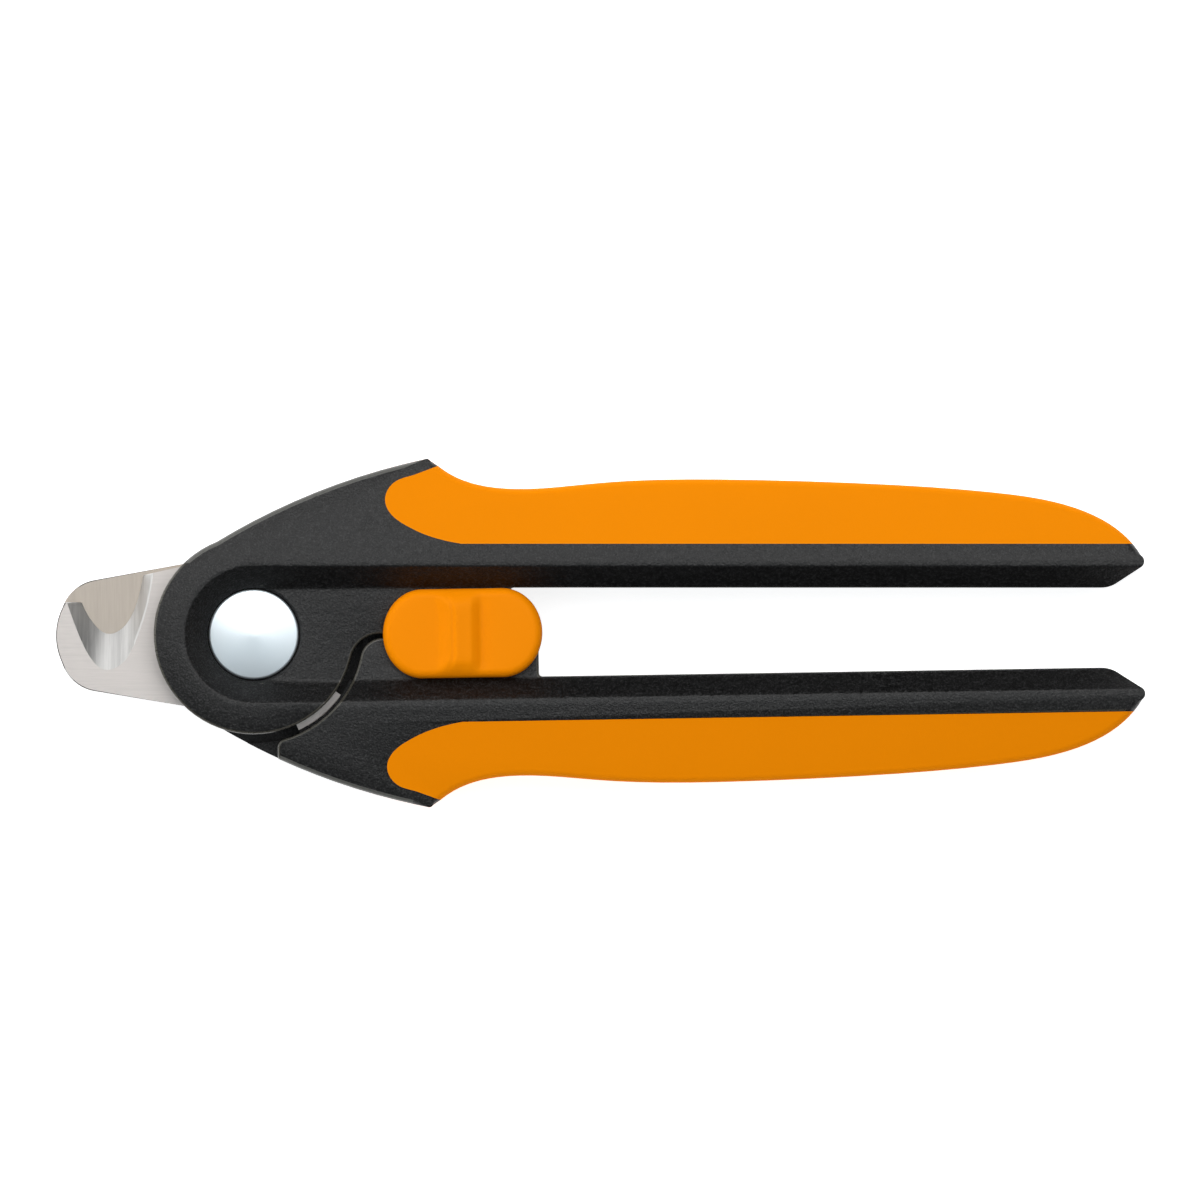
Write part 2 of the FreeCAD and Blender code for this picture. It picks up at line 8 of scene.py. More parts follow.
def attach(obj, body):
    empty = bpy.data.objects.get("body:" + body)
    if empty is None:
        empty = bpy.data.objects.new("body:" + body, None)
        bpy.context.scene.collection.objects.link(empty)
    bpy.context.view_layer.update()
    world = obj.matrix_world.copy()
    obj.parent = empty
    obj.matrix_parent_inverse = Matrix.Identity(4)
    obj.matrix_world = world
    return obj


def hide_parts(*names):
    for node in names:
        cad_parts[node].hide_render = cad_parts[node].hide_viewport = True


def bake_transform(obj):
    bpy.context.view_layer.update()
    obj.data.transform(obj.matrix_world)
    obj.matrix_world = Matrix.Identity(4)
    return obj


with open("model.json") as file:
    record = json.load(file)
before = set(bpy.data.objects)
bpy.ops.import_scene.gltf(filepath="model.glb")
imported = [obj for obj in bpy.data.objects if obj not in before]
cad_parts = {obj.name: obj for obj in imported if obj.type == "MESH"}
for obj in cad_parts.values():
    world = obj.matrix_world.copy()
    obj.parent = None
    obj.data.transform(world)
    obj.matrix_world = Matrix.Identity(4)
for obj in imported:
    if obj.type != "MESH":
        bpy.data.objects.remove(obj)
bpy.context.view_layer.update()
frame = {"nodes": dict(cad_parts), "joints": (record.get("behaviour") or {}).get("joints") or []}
nodes = frame["nodes"]
MM = 0.001

# Places on the tool, in metres.  The pivot stands along Z through PIVOT, and places
# on the levers are given from it.  LOWER_TURN takes such a place to the lower lever.
CLOSED_TILT = 0.9
hinge = next(j for j in frame["joints"] if j["name"] == "handle_pivot")
PIVOT = Vector((hinge["pos_m"][0], hinge["pos_m"][1], 0.0))
LOWER_TURN = Matrix.Translation(PIVOT) @ Matrix.Rotation(math.radians(CLOSED_TILT), 4, "Z")
THICKNESS = 18.0 * MM
CHANNEL = 15.2 * MM             # height of the front channel's floor
FACE_DEPTH = 0.9 * MM           # how far below it an edge still belongs to the face
SHOULDER_X = 24.5 * MM
HANDLE_END = 118.0 * MM

# Just inside the outline from the round plate to the shoulder, as two chords: height
# at the pivot and slope.  The grip's seam starts a little before the shoulder.
OUTLINE_CHORDS = ((15.5 * MM, 0.557), (17.0 * MM, 0.319))
OUTLINE_START = -9.0 * MM
OUTLINE_END = SHOULDER_X - 0.5 * MM
SEAM_START = SHOULDER_X - 7.5 * MM
SEAM_INNER = 12.0 * MM

# Jaws
JAW_ROOT = -12.0 * MM           # edges wholly beyond this stand out of the levers
JAW_CLEAR = -21.0 * MM          # and so do edges that reach beyond this
JAW_TIP = -27.0 * MM
JAW_RIM = 6.6 * MM              # the rim under the notch is further out than this
OUTER_FACING = 0.995            # how squarely a face looks outwards to be the outer face
SHEAR_FACING = 0.2              # and below this it belongs to the back or the sides

# Studio
VIEW_WIDTH = 0.1711
VIEW_MIDDLE = (0.0, 0.0047, 0.010)
CAMERA_HEIGHT = 3.0
SENSOR_WIDTH = 36.0
WORLD_STRENGTH = 0.15
FLOOR_HALF = 3.0
FLOOR_GLOW = 0.80
WHITE = (1.0, 1.0, 1.0)
COOL_WHITE = (0.86, 0.95, 1.0)

# Soft lamps: name, place, width and height, power, colour
LAMPS = [
    ("key_light", (0.04, 0.41, 0.95), (1.05, 0.75), 7.0, WHITE),
    ("left_light", (-1.0, 0.30, 0.42), (1.0, 0.5), 4.2, WHITE),
    ("corner_light", (-0.44, 0.38, 0.88), (0.32, 0.32), 0.8, WHITE),
    ("front_light", (0.0, -0.20, 1.0), (1.4, 0.3), 1.4, COOL_WHITE),
]

# Thumb button
BUTTON_AT = (29.75 * MM, -0.3 * MM)
BUTTON_LENGTH = 22.7 * MM
BUTTON_WIDTH = 12.7 * MM
BUTTON_STRAIGHT = 11.3 * MM
BUTTON_UNDER = CHANNEL + 0.08 * MM
BUTTON_TOP = BUTTON_UNDER + 2.1 * MM
BUTTON_ROUND = 1.25 * MM
BAR_STEPS = 90
TOP_BAND = 0.9 * MM             # depth of the button's top that is divided and shaped
CUT_X, CUTS_ALONG = 0.2 * MM, range(-26, 24)
CUT_Y, CUTS_ACROSS = 0.46 * MM, range(-12, 13)

# Thumb stop on the button, along X from the button's middle
CREST_RISE = 0.9 * MM
CREST_X = -1.4 * MM
CREST_SWEEP = 1.0 * MM          # the crest bends this far towards the pivot at the sides
SWEEP_SIDE = (0.5, 0.95)        # where it bends, as shares of the half width
FADE_SIDE = (0.6, 0.95)         # where the whole stop fades out
RAMP_RUN = 2.2 * MM             # start of the rise, before the crest
RAMP_END = 0.4 * MM             # end of the rise, past the crest
GENTLE_FALL = 0.22              # part of the rise lost gently; the step loses the rest
GENTLE_END = 1.2 * MM
STEP_START = 1.0 * MM
STEP_END = 2.7 * MM
HOLLOW_DEPTH = 0.14 * MM
HOLLOW_IN = (1.9 * MM, 2.7 * MM)
HOLLOW_OUT = (2.8 * MM, 4.4 * MM)
FOLD_DEPTH = 0.22 * MM          # narrow groove just past the crest
FOLD_OFFSET = 0.1 * MM
FOLD_HALF = 0.4 * MM

# Key under the button
KEY_LENGTH = 8.8 * MM
KEY_WIDTH = 3.4 * MM
KEY_SHIFT = -0.75 * MM
KEY_Y = -3.3 * MM
KEY_LOW = 13.1 * MM
KEY_SUNK = 0.3 * MM             # the key ends this far inside the button

# Pivot heads, all drawn as the front one
HEAD_RADIUS = 6.425 * MM
HEAD_SEAT = 13.9 * MM
HEAD_RIM = 1.1 * MM
HEAD_RISE = 0.8 * MM
BOLT_RADIUS = 2.0 * MM
BARREL_RADIUS = 3.5 * MM
BOLT_END = 6.1 * MM
BARREL_END = 4.6 * MM
BARREL_BORE = (BOLT_RADIUS, 11.9 * MM)
# Radius, and depth below the top, of the crown
HEAD_CROWN = ((0.0, 0.06 * MM), (0.7 * MM, 0.1 * MM))
# Rounding of the head's edge: distance in from its radius, height about its rim
HEAD_ROUNDING = (
    (0.35 * MM, 0.03 * MM), (0.12 * MM, -0.04 * MM), (0.02 * MM, -0.16 * MM), (0.0, -0.32 * MM),
)
HEAD_STEPS = 96

# Bevels, and the slots of the materials on them
EDGE_BREAK = 0.32 * MM
SHOULDER_BREAK = 0.6 * MM
JAW_EDGE = 0.14 * MM
# Slots for the lighter bevels on the levers' edges: painted highlights where the edges catch
# light.
SHOULDER_HIGHLIGHT_SLOT, EDGE_HIGHLIGHT_SLOT = 1, 2
# The last slot holds the jaw's dark rim bevel: a painted dark reflection.
OUTER_SLOT, SHEAR_SLOT, GROUND_SLOT, DARK_RIM_SLOT = range(4)

# Mesh limits
WELD = 2e-6
TOUCH = 1e-6
COPLANAR = math.radians(0.6)
SHARP = math.radians(50)


# ---------------------------------------------------------------- studio
def make_camera():
    """A long lens straight above the tool."""
    cam = bpy.data.cameras.new("camera")
    obj = bpy.data.objects.new("camera", cam)
    bpy.context.scene.collection.objects.link(obj)
    cam.sensor_width = SENSOR_WIDTH
    cam.lens = SENSOR_WIDTH * CAMERA_HEIGHT / VIEW_WIDTH
    cam.clip_start = 0.01
    obj.location = (VIEW_MIDDLE[0], VIEW_MIDDLE[1], VIEW_MIDDLE[2] + CAMERA_HEIGHT)
    bpy.context.scene.camera = obj


def soft_box(name, place, size, power, colour):
    """A soft rectangular lamp aimed at the middle of the tool."""
    lamp = bpy.data.lights.new(name, "AREA")
    lamp.shape = "RECTANGLE"
    lamp.size, lamp.size_y = size
    lamp.energy = power
    lamp.color = colour
    obj = bpy.data.objects.new(name, lamp)
    bpy.context.scene.collection.objects.link(obj)
    obj.location = place
    obj.rotation_euler = (-Vector(place)).to_track_quat("-Z", "Y").to_euler()


def make_stage():
    """A plain pale floor, dim even light all round, and the lamps."""
    bm = bmesh.new()
    bmesh.ops.create_grid(bm, x_segments=1, y_segments=1, size=FLOOR_HALF)
    mesh = bpy.data.meshes.new("floor")
    bm.to_mesh(mesh)
    bm.free()
    floor = bpy.data.objects.new("floor", mesh)
    bpy.context.scene.collection.objects.link(floor)
    mat = bpy.data.materials.new("floor_paper")
    mat.use_nodes = True
    bsdf = mat.node_tree.nodes["Principled BSDF"]
    bsdf.inputs["Base Color"].default_value = (0.93, 0.93, 0.93, 1)
    bsdf.inputs["Roughness"].default_value = 0.9
    bsdf.inputs["Specular IOR Level"].default_value = 0.1
    bsdf.inputs["Emission Color"].default_value = (1, 1, 1, 1)
    bsdf.inputs["Emission Strength"].default_value = FLOOR_GLOW
    mesh.materials.append(mat)
    world = bpy.data.worlds.new("studio")
    world.use_nodes = True
    back = world.node_tree.nodes["Background"]
    back.inputs["Color"].default_value = (1.0, 1.0, 1.0, 1)
    back.inputs["Strength"].default_value = WORLD_STRENGTH
    bpy.context.scene.world = world
    for lamp in LAMPS:
        soft_box(*lamp)
    bpy.context.scene.view_settings.view_transform = "Standard"


# ---------------------------------------------------------------- node helpers
def feed(tree, value, socket):
    """Set a socket, or link it if the value is another node's output."""
    if isinstance(value, bpy.types.NodeSocket):
        tree.links.new(value, socket)
    else:
        socket.default_value = value


def new_group(name, inputs, outputs):
    group = bpy.data.node_groups.new(name, "ShaderNodeTree")
    for label, kind, value in inputs:
        socket = group.interface.new_socket(label, in_out="INPUT", socket_type=kind)
        if value is not None:
            socket.default_value = value
    for label, kind in outputs:
        group.interface.new_socket(label, in_out="OUTPUT", socket_type=kind)
    return group, group.nodes.new("NodeGroupInput"), group.nodes.new("NodeGroupOutput")


def maths(tree, operation, a, b):
    node = tree.nodes.new("ShaderNodeMath")
    node.operation = operation
    feed(tree, a, node.inputs[0])
    feed(tree, b, node.inputs[1])
    return node.outputs[0]


def noise(tree, vector, scale, detail=2.0, rough=0.5):
    node = tree.nodes.new("ShaderNodeTexNoise")
    feed(tree, vector, node.inputs["Vector"])
    feed(tree, scale, node.inputs["Scale"])
    node.inputs["Detail"].default_value = detail
    node.inputs["Roughness"].default_value = rough
    return node.outputs["Fac"]


def stretch(tree, vector, scale, angle=0.0):
    node = tree.nodes.new("ShaderNodeMapping")
    feed(tree, vector, node.inputs["Vector"])
    node.inputs["Rotation"].default_value = (0, 0, angle)
    feed(tree, scale, node.inputs["Scale"])
    return node.outputs["Vector"]


def remap(tree, value, from_min, from_max, to_min, to_max):
    node = tree.nodes.new("ShaderNodeMapRange")
    feed(tree, value, node.inputs["Value"])
    feed(tree, from_min, node.inputs["From Min"])
    feed(tree, from_max, node.inputs["From Max"])
    feed(tree, to_min, node.inputs["To Min"])
    feed(tree, to_max, node.inputs["To Max"])
    return node.outputs["Result"]


def brighten(tree, colour, gain):
    node = tree.nodes.new("ShaderNodeVectorMath")
    node.operation = "SCALE"
    feed(tree, colour, node.inputs[0])
    feed(tree, gain, node.inputs["Scale"])
    return node.outputs[0]


def weighted(tree, a, a_share, b, b_share):
    """Two patterns added, each by its share."""
    a_part = maths(tree, "MULTIPLY", a, a_share)
    b_part = maths(tree, "MULTIPLY", b, b_share)
    return maths(tree, "ADD", a_part, b_part)


def about_one(tree, value, amount):
    """Turn a 0 to 1 pattern into a gain that swings about 1."""
    swing = maths(tree, "MULTIPLY", maths(tree, "SUBTRACT", value, 0.5), amount)
    return maths(tree, "ADD", swing, 1.0)


# ---------------------------------------------------------------- surface groups
PIT_SHARE = 0.37                # scale of the pits, against the grain's
DRIFT_SCALE = 45.0
BROAD_SCALE = 0.31              # scale of the broad scratches, against the fine ones'
GRAIN_SPAN = (0.38, 0.62)       # where most of the pattern's values lie
SCRATCH_SPAN = (0.35, 0.65)
SURFACE_OUTPUTS = [
    ("Colour", "NodeSocketColor"),
    ("Roughness", "NodeSocketFloat"),
    ("Height", "NodeSocketFloat"),
]


def build_moulded_group():
    """Moulded plastic or rubber: spark-eroded grain, slow colour drift, patchy sheen."""
    tree, entry, leave = new_group(
        "moulded_surface",
        [
            ("Vector", "NodeSocketVector", None),
            ("Colour", "NodeSocketColor", (0.5, 0.5, 0.5, 1)),
            ("Grain Scale", "NodeSocketFloat", 3000.0),
            ("Drift", "NodeSocketFloat", 0.06),
            ("Speckle", "NodeSocketFloat", 0.1),
            ("Roughness Low", "NodeSocketFloat", 0.4),
            ("Roughness High", "NodeSocketFloat", 0.6),
        ],
        SURFACE_OUTPUTS,
    )
    vector = entry.outputs["Vector"]
    grain = noise(tree, vector, entry.outputs["Grain Scale"], 2.0, 0.7)
    pit_scale = maths(tree, "MULTIPLY", entry.outputs["Grain Scale"], PIT_SHARE)
    pits = noise(tree, vector, pit_scale, 3.0, 0.6)
    slow = noise(tree, vector, DRIFT_SCALE, 3.0, 0.55)
    gain = maths(
        tree, "MULTIPLY",
        about_one(tree, slow, entry.outputs["Drift"]),
        maths(tree, "MAXIMUM", about_one(tree, grain, entry.outputs["Speckle"]), 0.0),
    )
    feed(tree, brighten(tree, entry.outputs["Colour"], gain), leave.inputs["Colour"])
    sheen = weighted(tree, grain, 0.55, pits, 0.45)
    rough = remap(
        tree, sheen, *GRAIN_SPAN,
        entry.outputs["Roughness Low"], entry.outputs["Roughness High"],
    )
    feed(tree, rough, leave.inputs["Roughness"])
    feed(tree, sheen, leave.inputs["Height"])
    return tree


def build_brushed_group():
    """Ground metal: fine scratches along one direction, some of them deeper."""
    tree, entry, leave = new_group(
        "brushed_metal",
        [
            ("Vector", "NodeSocketVector", None),
            ("Colour", "NodeSocketColor", (0.6, 0.6, 0.6, 1)),
            ("Stretch", "NodeSocketVector", (60.0, 3000.0, 3000.0)),
            ("Contrast", "NodeSocketFloat", 0.2),
            ("Roughness Low", "NodeSocketFloat", 0.25),
            ("Roughness High", "NodeSocketFloat", 0.45),
        ],
        SURFACE_OUTPUTS,
    )
    along = stretch(tree, entry.outputs["Vector"], entry.outputs["Stretch"])
    fine = noise(tree, along, 1.0, 3.0, 0.65)
    broad = noise(tree, along, BROAD_SCALE, 2.0, 0.5)
    mix = weighted(tree, fine, 0.65, broad, 0.35)
    gain = about_one(tree, mix, entry.outputs["Contrast"])
    feed(tree, brighten(tree, entry.outputs["Colour"], gain), leave.inputs["Colour"])
    rough = remap(
        tree, mix, *SCRATCH_SPAN,
        entry.outputs["Roughness Low"], entry.outputs["Roughness High"],
    )
    feed(tree, rough, leave.inputs["Roughness"])
    feed(tree, mix, leave.inputs["Height"])
    return tree


def surface(name, group, values, bump, specular=0.5, metal=0.0):
    """A material: one shader fed by a surface group.  bump is strength and depth."""
    bump_strength, bump_depth = bump
    mat = bpy.data.materials.new(name)
    mat.use_nodes = True
    tree = mat.node_tree
    bsdf = tree.nodes["Principled BSDF"]
    coords = tree.nodes.new("ShaderNodeTexCoord")
    effect = tree.nodes.new("ShaderNodeGroup")
    effect.node_tree = group
    feed(tree, coords.outputs["Object"], effect.inputs["Vector"])
    for label, value in values.items():
        effect.inputs[label].default_value = value
    feed(tree, effect.outputs["Colour"], bsdf.inputs["Base Color"])
    feed(tree, effect.outputs["Roughness"], bsdf.inputs["Roughness"])
    relief = tree.nodes.new("ShaderNodeBump")
    relief.inputs["Strength"].default_value = bump_strength
    relief.inputs["Distance"].default_value = bump_depth
    feed(tree, effect.outputs["Height"], relief.inputs["Height"])
    feed(tree, relief.outputs["Normal"], bsdf.inputs["Normal"])
    bsdf.inputs["Metallic"].default_value = metal
    bsdf.inputs["Specular IOR Level"].default_value = specular
    return mat


make_camera()
make_stage()
moulded = build_moulded_group()
brushed = build_brushed_group()

black_plastic = surface(
    "black_plastic", moulded,
    {"Colour": (0.0020, 0.0020, 0.00205, 1), "Grain Scale": 3800.0, "Drift": 0.2, "Speckle": 68.0,
     "Roughness Low": 0.28, "Roughness High": 0.46},
    (1.0, 0.2 * MM), specular=0.40,
)
# Lighter colour on the shoulder's outline bevel: a painted highlight where that edge catches
# light.
shoulder_painted_highlight = surface(
    "shoulder_painted_highlight", moulded,
    {"Colour": (0.10, 0.10, 0.092, 1), "Grain Scale": 2600.0, "Drift": 0.4, "Speckle": 0.6,
     "Roughness Low": 0.3, "Roughness High": 0.42},
    (0.2, 0.03 * MM), specular=0.5,
)
# Lighter colour on the levers' front and back edge bevels: a painted highlight where the edges
# catch light.
edge_painted_highlight = surface(
    "edge_painted_highlight", moulded,
    {"Colour": (0.05, 0.047, 0.037, 1), "Grain Scale": 2600.0, "Drift": 0.6, "Speckle": 1.0,
     "Roughness Low": 0.24, "Roughness High": 0.36},
    (0.2, 0.03 * MM), specular=0.5,
)
grip_rubber = surface(
    "grip_rubber", moulded,
    {"Colour": (0.94, 0.27, 0.0001, 1), "Grain Scale": 5000.0, "Drift": 0.05, "Speckle": 0.04,
     "Roughness Low": 0.58, "Roughness High": 0.70},
    (0.2, 0.03 * MM), specular=0.035,
)
button_plastic = surface(
    "button_plastic", moulded,
    {"Colour": (1.0, 0.285, 0.0002, 1), "Grain Scale": 4200.0, "Drift": 0.04, "Speckle": 0.03,
     "Roughness Low": 0.42, "Roughness High": 0.52},
    (0.12, 0.02 * MM), specular=0.04,
)
nylon = surface(
    "nylon", moulded,
    {"Colour": (0.7, 0.69, 0.65, 1), "Grain Scale": 2500.0, "Drift": 0.05, "Speckle": 0.05,
     "Roughness Low": 0.4, "Roughness High": 0.55},
    (0.1, 0.02 * MM),
)
blade_face = surface(
    "blade_face", brushed,
    {"Colour": (0.49, 0.458, 0.437, 1), "Stretch": (260.0, 6500.0, 2000.0), "Contrast": 0.5,
     "Roughness Low": 0.34, "Roughness High": 0.50},
    (0.3, 0.02 * MM), metal=1.0,
)
blade_back = surface(
    "blade_back", brushed,
    {"Colour": (0.37, 0.328, 0.285, 1), "Stretch": (4200.0, 170.0, 130.0), "Contrast": 0.45,
     "Roughness Low": 0.3, "Roughness High": 0.46},
    (0.3, 0.02 * MM), metal=1.0,
)
blade_ground = surface(
    "blade_ground", brushed,
    {"Colour": (0.55, 0.545, 0.535, 1), "Stretch": (4600.0, 130.0, 130.0), "Contrast": 1.0,
     "Roughness Low": 0.38, "Roughness High": 0.58},
    (0.4, 0.02 * MM), metal=1.0,
)
# Dark colour on the jaw's rim bevel: a painted dark reflection along its outline.
blade_rim_painted_dark = surface(
    "blade_rim_painted_dark", brushed,
    {"Colour": (0.13, 0.125, 0.12, 1), "Stretch": (900.0, 900.0, 900.0), "Contrast": 0.3,
     "Roughness Low": 0.3, "Roughness High": 0.4},
    (0.1, 0.01 * MM), metal=1.0,
)
head_steel = surface(
    "head_steel", brushed,
    {"Colour": (0.70, 0.765, 0.80, 1), "Stretch": (900.0, 900.0, 900.0), "Contrast": 0.03,
     "Roughness Low": 0.38, "Roughness High": 0.44},
    (0.02, 0.004 * MM), metal=1.0,
)
pin_steel = surface(
    "pin_steel", brushed,
    {"Colour": (0.5, 0.5, 0.5, 1), "Stretch": (300.0, 300.0, 3000.0), "Contrast": 0.2,
     "Roughness Low": 0.25, "Roughness High": 0.45},
    (0.1, 0.01 * MM), metal=1.0,
)
spring_steel = surface(
    "spring_steel", brushed,
    {"Colour": (0.3, 0.3, 0.31, 1), "Stretch": (800.0, 800.0, 800.0), "Contrast": 0.3,
     "Roughness Low": 0.3, "Roughness High": 0.5},
    (0.1, 0.01 * MM), metal=1.0,
)


# ---------------------------------------------------------------- mesh helpers
def finish_piece(bm, name, mats, body, cad):
    """Make the object and hang it on its body, or on none where body is None."""
    mesh = bpy.data.meshes.new(name)
    bm.to_mesh(mesh)
    bm.free()
    obj = bpy.data.objects.new(name, mesh)
    bpy.context.scene.collection.objects.link(obj)
    for mat in mats:
        mesh.materials.append(mat)
    if body:
        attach(obj, body)
    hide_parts(*cad)
    return obj


def welded(node):
    """A merged copy of a CAD node's mesh, with its flat faces in one piece."""
    bm = bmesh.new()
    bm.from_mesh(nodes[node].data)
    bmesh.ops.remove_doubles(bm, verts=bm.verts, dist=WELD)
    bmesh.ops.dissolve_limit(
        bm, angle_limit=COPLANAR, verts=bm.verts, edges=bm.edges,
        use_dissolve_boundaries=False, delimit=set(),
    )
    return bm


def smooth_by_angle(bm, degrees):
    """Shade the faces smooth, apart from edges that turn by this angle or more."""
    limit = math.radians(degrees)
    for face in bm.faces:
        face.smooth = True
    for edge in bm.edges:
        edge.smooth = len(edge.link_faces) == 2 and edge.calc_face_angle() < limit


def break_edges(bm, width, chosen, segments=3):
    """Round the sharp outer edges that chosen accepts, and give back the new faces."""
    picked = []
    for edge in bm.edges:
        sharp = len(edge.link_faces) == 2 and edge.calc_face_angle_signed() > SHARP
        if sharp and chosen(edge):
            picked.append(edge)
    made = bmesh.ops.bevel(
        bm, geom=picked, offset=width, offset_type="OFFSET", segments=segments,
        profile=0.5, affect="EDGES", clamp_overlap=False, material=-1,
    )
    return made["faces"]


def middle(edge):
    """The middle of an edge, from the pivot."""
    return (edge.verts[0].co + edge.verts[1].co) / 2 - PIVOT


def between_faces(place):
    """True for a place well inside the tool, away from its front and its back."""
    return CHANNEL - FACE_DEPTH > place.z > THICKNESS - CHANNEL + FACE_DEPTH


def near_face(edge):
    """True for an edge close to the front or the back of the tool, away from the
    grip's seam and from the handle ends."""
    place = middle(edge)
    at_seam = place.x > SEAM_START and abs(place.y) > SEAM_INNER
    return not between_faces(place) and not at_seam and place.x < HANDLE_END


def on_shoulder(edge, side):
    """True for an edge of the outline between the round plate and the shoulder."""
    place = middle(edge)
    outline = min(height + slope * place.x for height, slope in OUTLINE_CHORDS)
    along = OUTLINE_START < place.x < OUTLINE_END
    return not between_faces(place) and along and place.y * side > outline


def on_jaw(edge):
    """True for an edge of the jaw that stands out of the levers."""
    ends = sorted(v.co.x - PIVOT.x for v in edge.verts)
    return ends[1] < JAW_ROOT or ends[0] < JAW_CLEAR


# ---------------------------------------------------------------- levers and grips
def make_lever(node, name, body, side):
    """A lever's core.  side is 1 where its handle lies towards +Y, -1 where -Y."""
    bm = welded(node)
    # The shoulder bevel gets a lighter colour than the plastic: a painted highlight.
    for face in break_edges(bm, SHOULDER_BREAK, lambda edge: on_shoulder(edge, side)):
        face.material_index = SHOULDER_HIGHLIGHT_SLOT
    # The edge bevels get a lighter colour than the plastic: a painted highlight.
    for face in break_edges(bm, EDGE_BREAK, near_face):
        face.material_index = EDGE_HIGHLIGHT_SLOT
    smooth_by_angle(bm, 32)
    mats = [black_plastic, shoulder_painted_highlight, edge_painted_highlight]
    finish_piece(bm, name, mats, body, [node])


def make_grip(node, name, body):
    bm = welded(node)
    smooth_by_angle(bm, 40)
    finish_piece(bm, name, [grip_rubber], body, [node])


# ---------------------------------------------------------------- blades
def make_jaw(node, name, body, outer_side):
    """A blade: brushed outer face, cross-ground shear face, and ground notch."""
    bm = welded(node)
    rim = break_edges(bm, JAW_EDGE, on_jaw, segments=1)
    bm.normal_update()
    for face in bm.faces:
        outward = face.normal.z * outer_side
        if outward > OUTER_FACING:
            face.material_index = OUTER_SLOT
        elif outward < SHEAR_FACING:
            face.material_index = SHEAR_SLOT
        else:
            face.material_index = GROUND_SLOT
    # The rim bevel at the tip and along the outer rim gets a dark colour: a painted dark
    # reflection.
    for face in rim:
        place = face.calc_center_median() - PIVOT
        if place.x < JAW_TIP or place.y * outer_side < -JAW_RIM:
            face.material_index = DARK_RIM_SLOT
    smooth_by_angle(bm, 20)
    mats = [blade_face, blade_back, blade_ground, blade_rim_painted_dark]
    finish_piece(bm, name, mats, body, [node])


# ---------------------------------------------------------------- thumb button
def rounded_bar(bm, radius_x, radius_y, shift, height):
    """A flat face: two half ellipses joined by a straight part."""
    made = bmesh.ops.create_circle(bm, cap_ends=True, segments=BAR_STEPS, radius=1.0)
    verts = made["verts"]
    half_step = Matrix.Rotation(math.radians(180 / BAR_STEPS), 3, "Z")
    bmesh.ops.rotate(bm, verts=verts, cent=(0, 0, 0), matrix=half_step)
    bmesh.ops.scale(bm, verts=verts, vec=(radius_x, radius_y, 1.0))
    for vert in verts:
        vert.co.x += math.copysign(shift, vert.co.x)
        vert.co.z = height
    return verts[0].link_faces[0]


def raise_faces(bm, faces, height):
    """Extrude faces straight up."""
    made = bmesh.ops.extrude_face_region(bm, geom=faces)
    verts = [part for part in made["geom"] if isinstance(part, bmesh.types.BMVert)]
    bmesh.ops.translate(bm, verts=verts, vec=(0, 0, height))


def smooth_step(low, high, value):
    t = min(max((value - low) / (high - low), 0.0), 1.0)
    return t * t * (3.0 - 2.0 * t)


def thumb_relief(x, y):
    """Height of the button's top over its flat, x and y from the button's middle:
    a thumb stop with a sharp crest, a hollow behind it, both fading at the sides."""
    side = abs(y) / (BUTTON_WIDTH / 2)
    crest = CREST_X - CREST_SWEEP * smooth_step(*SWEEP_SIDE, side)
    before = smooth_step(crest - RAMP_RUN, crest + RAMP_END, x)
    gentle = GENTLE_FALL * smooth_step(crest, GENTLE_END, x)
    behind = 1.0 - gentle - (1.0 - GENTLE_FALL) * smooth_step(STEP_START, STEP_END, x)
    hollow = smooth_step(*HOLLOW_IN, x) * (1.0 - smooth_step(*HOLLOW_OUT, x))
    fold = max(0.0, 1.0 - abs(x - crest - FOLD_OFFSET) / FOLD_HALF)
    fade = 1.0 - smooth_step(*FADE_SIDE, side)
    return (CREST_RISE * min(before, behind) - HOLLOW_DEPTH * hollow - FOLD_DEPTH * fold) * fade


def cut_top(bm, place, normal):
    """Divide the button's upper faces along a plane."""
    upper = [f for f in bm.faces if f.calc_center_median().z > BUTTON_TOP - TOP_BAND]
    edges = {e for f in upper for e in f.edges}
    verts = {v for f in upper for v in f.verts}
    bmesh.ops.bisect_plane(
        bm, geom=upper + list(edges) + list(verts), dist=TOUCH, plane_co=place, plane_no=normal,
    )


def add_cap(bm):
    """The button's rounded top, with the thumb stop on it."""
    end_reach = (BUTTON_LENGTH - BUTTON_STRAIGHT) / 2
    rounded_bar(bm, end_reach, BUTTON_WIDTH / 2, BUTTON_STRAIGHT / 2, BUTTON_UNDER)
    raise_faces(bm, list(bm.faces), BUTTON_TOP - BUTTON_UNDER)
    bmesh.ops.recalc_face_normals(bm, faces=bm.faces)
    rim = [
        e for e in bm.edges
        if min(v.co.z for v in e.verts) > BUTTON_TOP - TOUCH and len(e.link_faces) == 2
    ]
    bmesh.ops.bevel(
        bm, geom=rim, offset=BUTTON_ROUND, offset_type="OFFSET", segments=6,
        profile=0.5, affect="EDGES", clamp_overlap=True, material=-1,
    )
    for i in CUTS_ALONG:
        cut_top(bm, (CUT_X * i, 0, 0), (1, 0, 0))
    for i in CUTS_ACROSS:
        cut_top(bm, (0, CUT_Y * i, 0), (0, 1, 0))
    for vert in bm.verts:
        if vert.co.z > BUTTON_TOP - TOP_BAND:
            vert.co.z += thumb_relief(vert.co.x, vert.co.y)


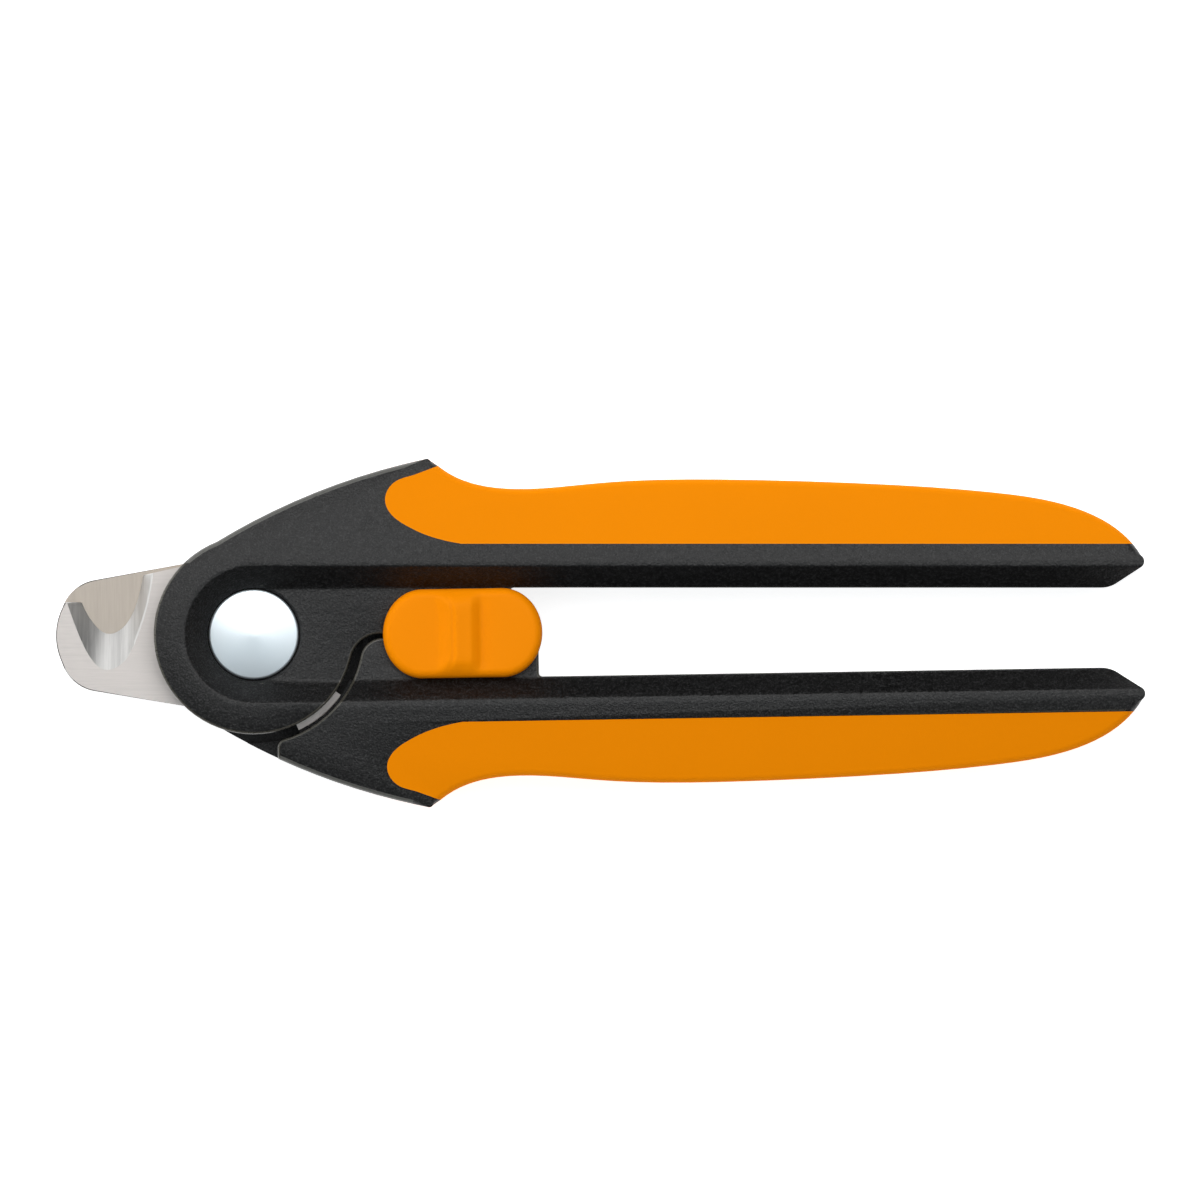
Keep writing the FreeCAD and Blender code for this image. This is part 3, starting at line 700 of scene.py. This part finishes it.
def add_key(bm):
    """The key under the button, which slides in the lower lever's slot."""
    end = KEY_WIDTH / 2
    face = rounded_bar(bm, end, end, (KEY_LENGTH - KEY_WIDTH) / 2, KEY_LOW)
    for vert in face.verts:
        vert.co.x += KEY_SHIFT
        vert.co.y += KEY_Y - BUTTON_AT[1]
    raise_faces(bm, [face], BUTTON_UNDER + KEY_SUNK - KEY_LOW)


def make_button():
    bm = bmesh.new()
    add_cap(bm)
    add_key(bm)
    bmesh.ops.recalc_face_normals(bm, faces=bm.faces)
    bmesh.ops.translate(bm, verts=bm.verts, vec=(BUTTON_AT[0], BUTTON_AT[1], 0))
    bmesh.ops.transform(bm, matrix=LOWER_TURN, verts=bm.verts)
    smooth_by_angle(bm, 50)
    finish_piece(bm, "thumb_button", [button_plastic], "lock", ["lock_button"])


# ---------------------------------------------------------------- pivot
def head_profile(bm, shank, low, bore):
    """Half section of a headed pivot part, from the tip of its shallow cone to
    the end of its shank.  bore is the radius and the bottom of a hole in it."""
    rim = HEAD_SEAT + HEAD_RIM
    top = rim + HEAD_RISE
    corners = [(radius, top - depth) for radius, depth in HEAD_CROWN]
    corners += [(HEAD_RADIUS - inset, rim + rise) for inset, rise in HEAD_ROUNDING]
    corners += [(HEAD_RADIUS, HEAD_SEAT), (shank, HEAD_SEAT), (shank, low)]
    if bore:
        corners += [(bore[0], low), bore, (0.0, bore[1])]
    else:
        corners += [(0.0, low)]
    verts = [bm.verts.new((x, 0, z)) for x, z in corners]
    return verts + [bm.edges.new(pair) for pair in zip(verts, verts[1:])]


def make_head(name, node, shank, low, upside_down, bore=None):
    """A pivot head and its shank.  The rear one is turned over."""
    bm = bmesh.new()
    bmesh.ops.spin(
        bm, geom=head_profile(bm, shank, low, bore), cent=(0, 0, 0), axis=(0, 0, 1),
        angle=math.radians(360), steps=HEAD_STEPS, use_merge=True, use_duplicate=False,
    )
    bmesh.ops.remove_doubles(bm, verts=bm.verts, dist=TOUCH)
    if upside_down:
        turn = Matrix.Translation((0, 0, THICKNESS)) @ Matrix.Rotation(math.pi, 4, "X")
        bmesh.ops.transform(bm, matrix=turn, verts=bm.verts)
    bmesh.ops.recalc_face_normals(bm, faces=bm.faces)
    bmesh.ops.transform(bm, matrix=Matrix.Translation(PIVOT), verts=bm.verts)
    smooth_by_angle(bm, 40)
    finish_piece(bm, name, [head_steel], "upper_lever", [node])


# ---------------------------------------------------------------- return spring
def make_return_spring():
    """The return spring, welded from its CAD node and hung on no body.  In the tool the coil
    winds up between the lower lever, which holds its low end, and the upper lever, which
    holds its high leg."""
    node = nodes["return_spring"]
    bm = bmesh.new()
    bm.from_mesh(node.data)
    bmesh.ops.remove_doubles(bm, verts=bm.verts, dist=WELD)
    smooth_by_angle(bm, 50)
    mats = [spring_steel]
    obj = finish_piece(bm, "coil_spring", mats, None, ["return_spring"])
    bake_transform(obj)


make_lever("upper_handle_core", "upper_lever", "upper_lever", 1)
make_lever("lower_handle_core", "lower_lever", "lower_lever", -1)
make_grip("upper_grip", "upper_grip_cover", "upper_lever")
make_grip("lower_grip", "lower_grip_cover", "lower_lever")
make_jaw("front_blade", "front_jaw", "upper_lever", 1)
make_jaw("rear_blade", "rear_jaw", "lower_lever", -1)
make_button()
make_head("front_pivot_head", "pivot_bolt", BOLT_RADIUS, BOLT_END, False)
make_head("rear_pivot_head", "pivot_barrel", BARREL_RADIUS, BARREL_END, True, BARREL_BORE)
make_return_spring()

for node, mat in {
    "front_blade_stop_pin": pin_steel,
    "front_blade_pin": pin_steel,
    "rear_blade_stop_pin": pin_steel,
    "rear_blade_pin": pin_steel,
    "bolt_washer": pin_steel,
    "thrust_washer": nylon,
    "detent_spring": spring_steel,
    "lock_plate": pin_steel,
    "lock_screw": pin_steel,
}.items():
    mesh = nodes[node].data
    mesh.materials.clear()
    mesh.materials.append(mat)
